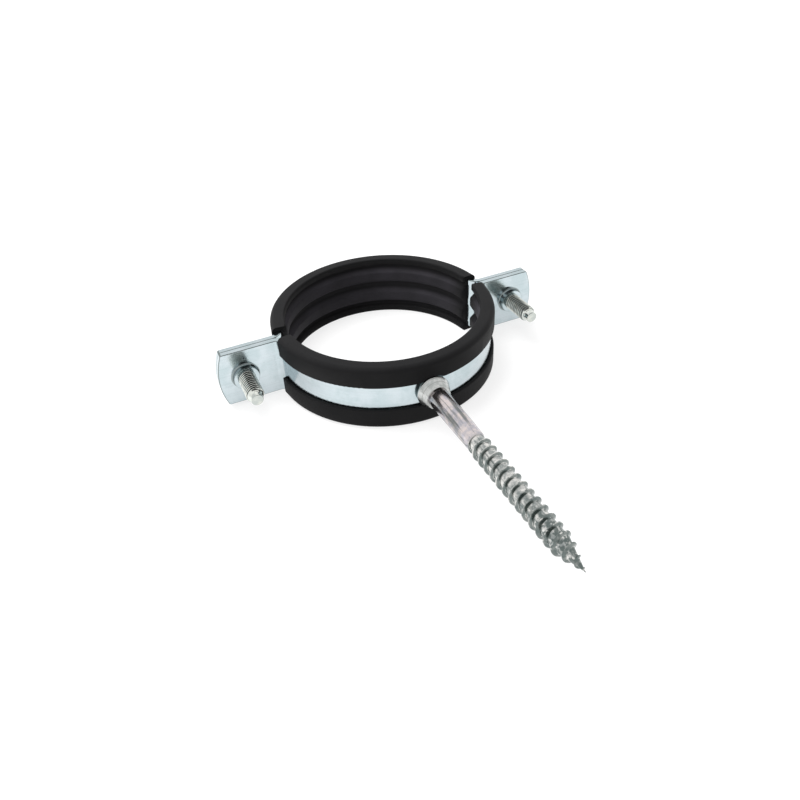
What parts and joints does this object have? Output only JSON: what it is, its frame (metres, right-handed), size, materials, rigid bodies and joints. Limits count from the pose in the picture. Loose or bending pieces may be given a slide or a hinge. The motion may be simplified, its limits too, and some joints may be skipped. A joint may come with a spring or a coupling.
{
  "type": "rubber lined pipe clamp",
  "caption": "Two-screw pipe clamp in zinc plated steel strip with rubber liners and a hanger wood screw, lying flat on its rims.",
  "frame": {"origin": "on the pipe's axis, halfway along the clamp", "axes": "+Z along the pipe, ears along X, hanger screw points along -Y"},
  "size_m": [0.12, 0.1548, 0.0232],
  "materials": {
    "zinc_strip": "bright zinc plate, bluish, nearly mirror smooth",
    "zinc_screw": "bright zinc plate over rolled thread",
    "liner_rubber": "matt black extruded rubber"
  },
  "bodies": {
    "front_half": {"front_band": "zinc_strip", "front_liner": "liner_rubber", "weld_boss": "zinc_screw"},
    "rear_half": {"rear_band": "zinc_strip", "rear_liner": "liner_rubber"},
    "left_screw": {"left_clamp_screw": "zinc_screw"},
    "right_screw": {"right_clamp_screw": "zinc_screw"},
    "hanger": {"hanger_screw": "zinc_screw"}
  },
  "joints": [
    {"name": "clamp_opening", "type": "slide", "parent": "front_half", "child": "rear_half", "axis": [0, 1, 0], "range_m": [0, 0.012]},
    {"name": "left_screw_turn", "type": "hinge", "parent": "rear_half", "child": "left_screw", "pos_m": [-0.051, 0, 0], "axis": [0, 1, 0], "range_deg": [0, 4320]},
    {"name": "right_screw_turn", "type": "hinge", "parent": "rear_half", "child": "right_screw", "pos_m": [0.051, 0, 0], "axis": [0, 1, 0], "range_deg": [0, 4320]},
    {"name": "hanger_turn", "type": "hinge", "parent": "front_half", "child": "hanger", "pos_m": [0, -0.04, 0], "axis": [0, -1, 0], "range_deg": [0, 180]}
  ],
  "couplings": [
    {"joint": "left_screw_turn", "follows": "clamp_opening", "rad_per_m": 6283.2},
    {"joint": "right_screw_turn", "follows": "clamp_opening", "rad_per_m": 6283.2}
  ]
}
